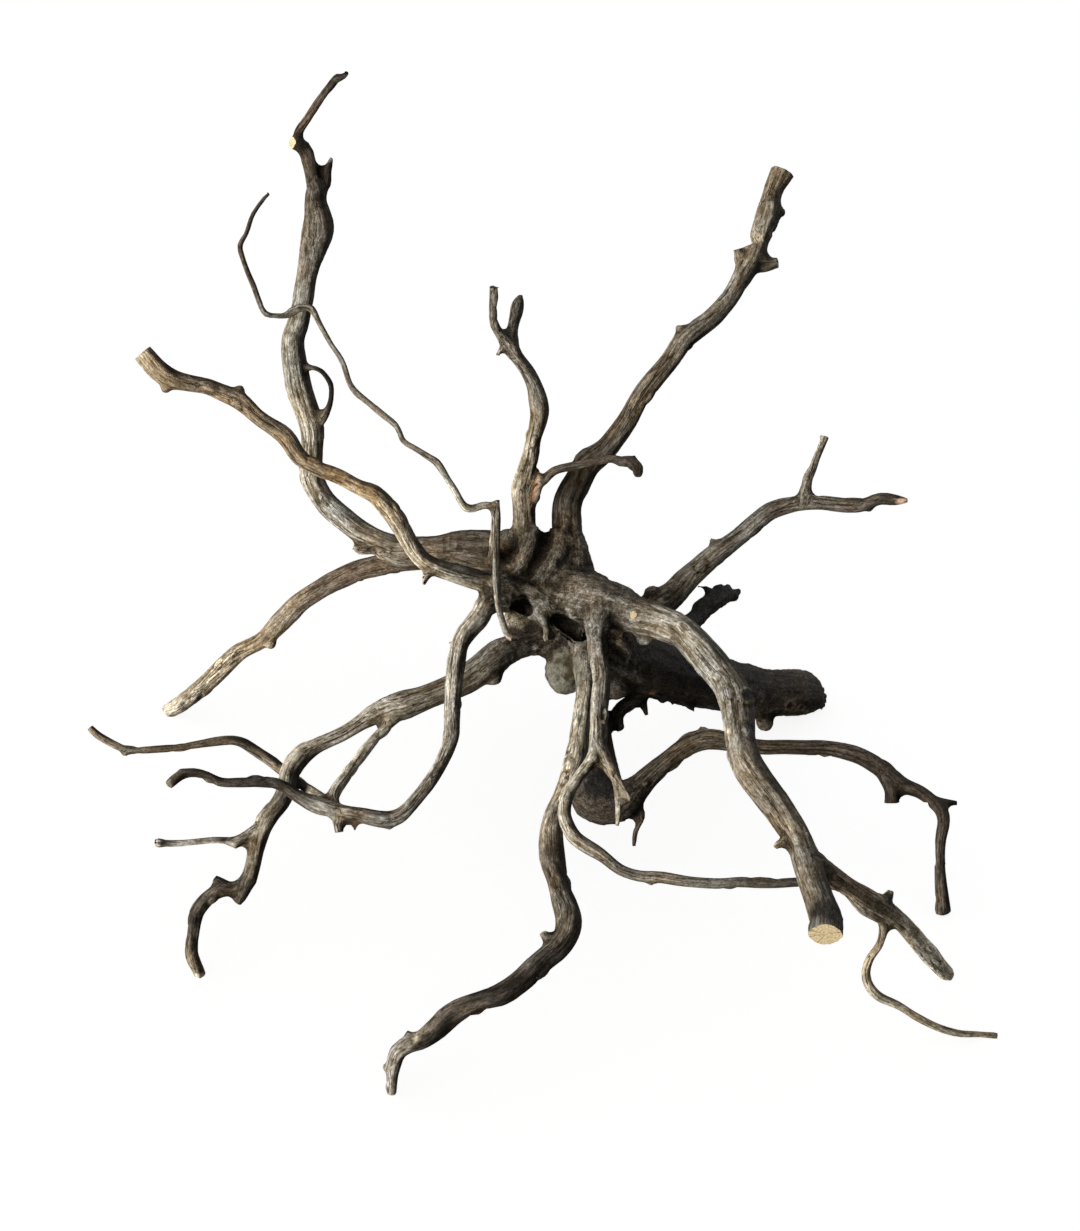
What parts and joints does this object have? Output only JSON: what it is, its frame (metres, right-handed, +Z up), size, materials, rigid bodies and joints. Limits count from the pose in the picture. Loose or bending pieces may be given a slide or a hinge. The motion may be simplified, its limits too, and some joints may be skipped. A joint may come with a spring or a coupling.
{
  "type": "driftwood root",
  "caption": "Weathered spider-wood root that stands on its own root tips, with a knotted crown, a thick stump and long twisting limbs that end in twigs and saw cuts.",
  "frame": {"origin": "centre of the footprint, on the surface that the root stands on", "axes": "+Z up, -Y towards the viewer, +X to the viewer's right"},
  "size_m": [0.4299, 0.369, 0.3476],
  "materials": {
    "weathered_wood": "dry, matt and fissured, weathered grey-brown with near-black hollows"
  },
  "bodies": {
    "root": {"driftwood_root": "weathered_wood"}
  },
  "joints": []
}
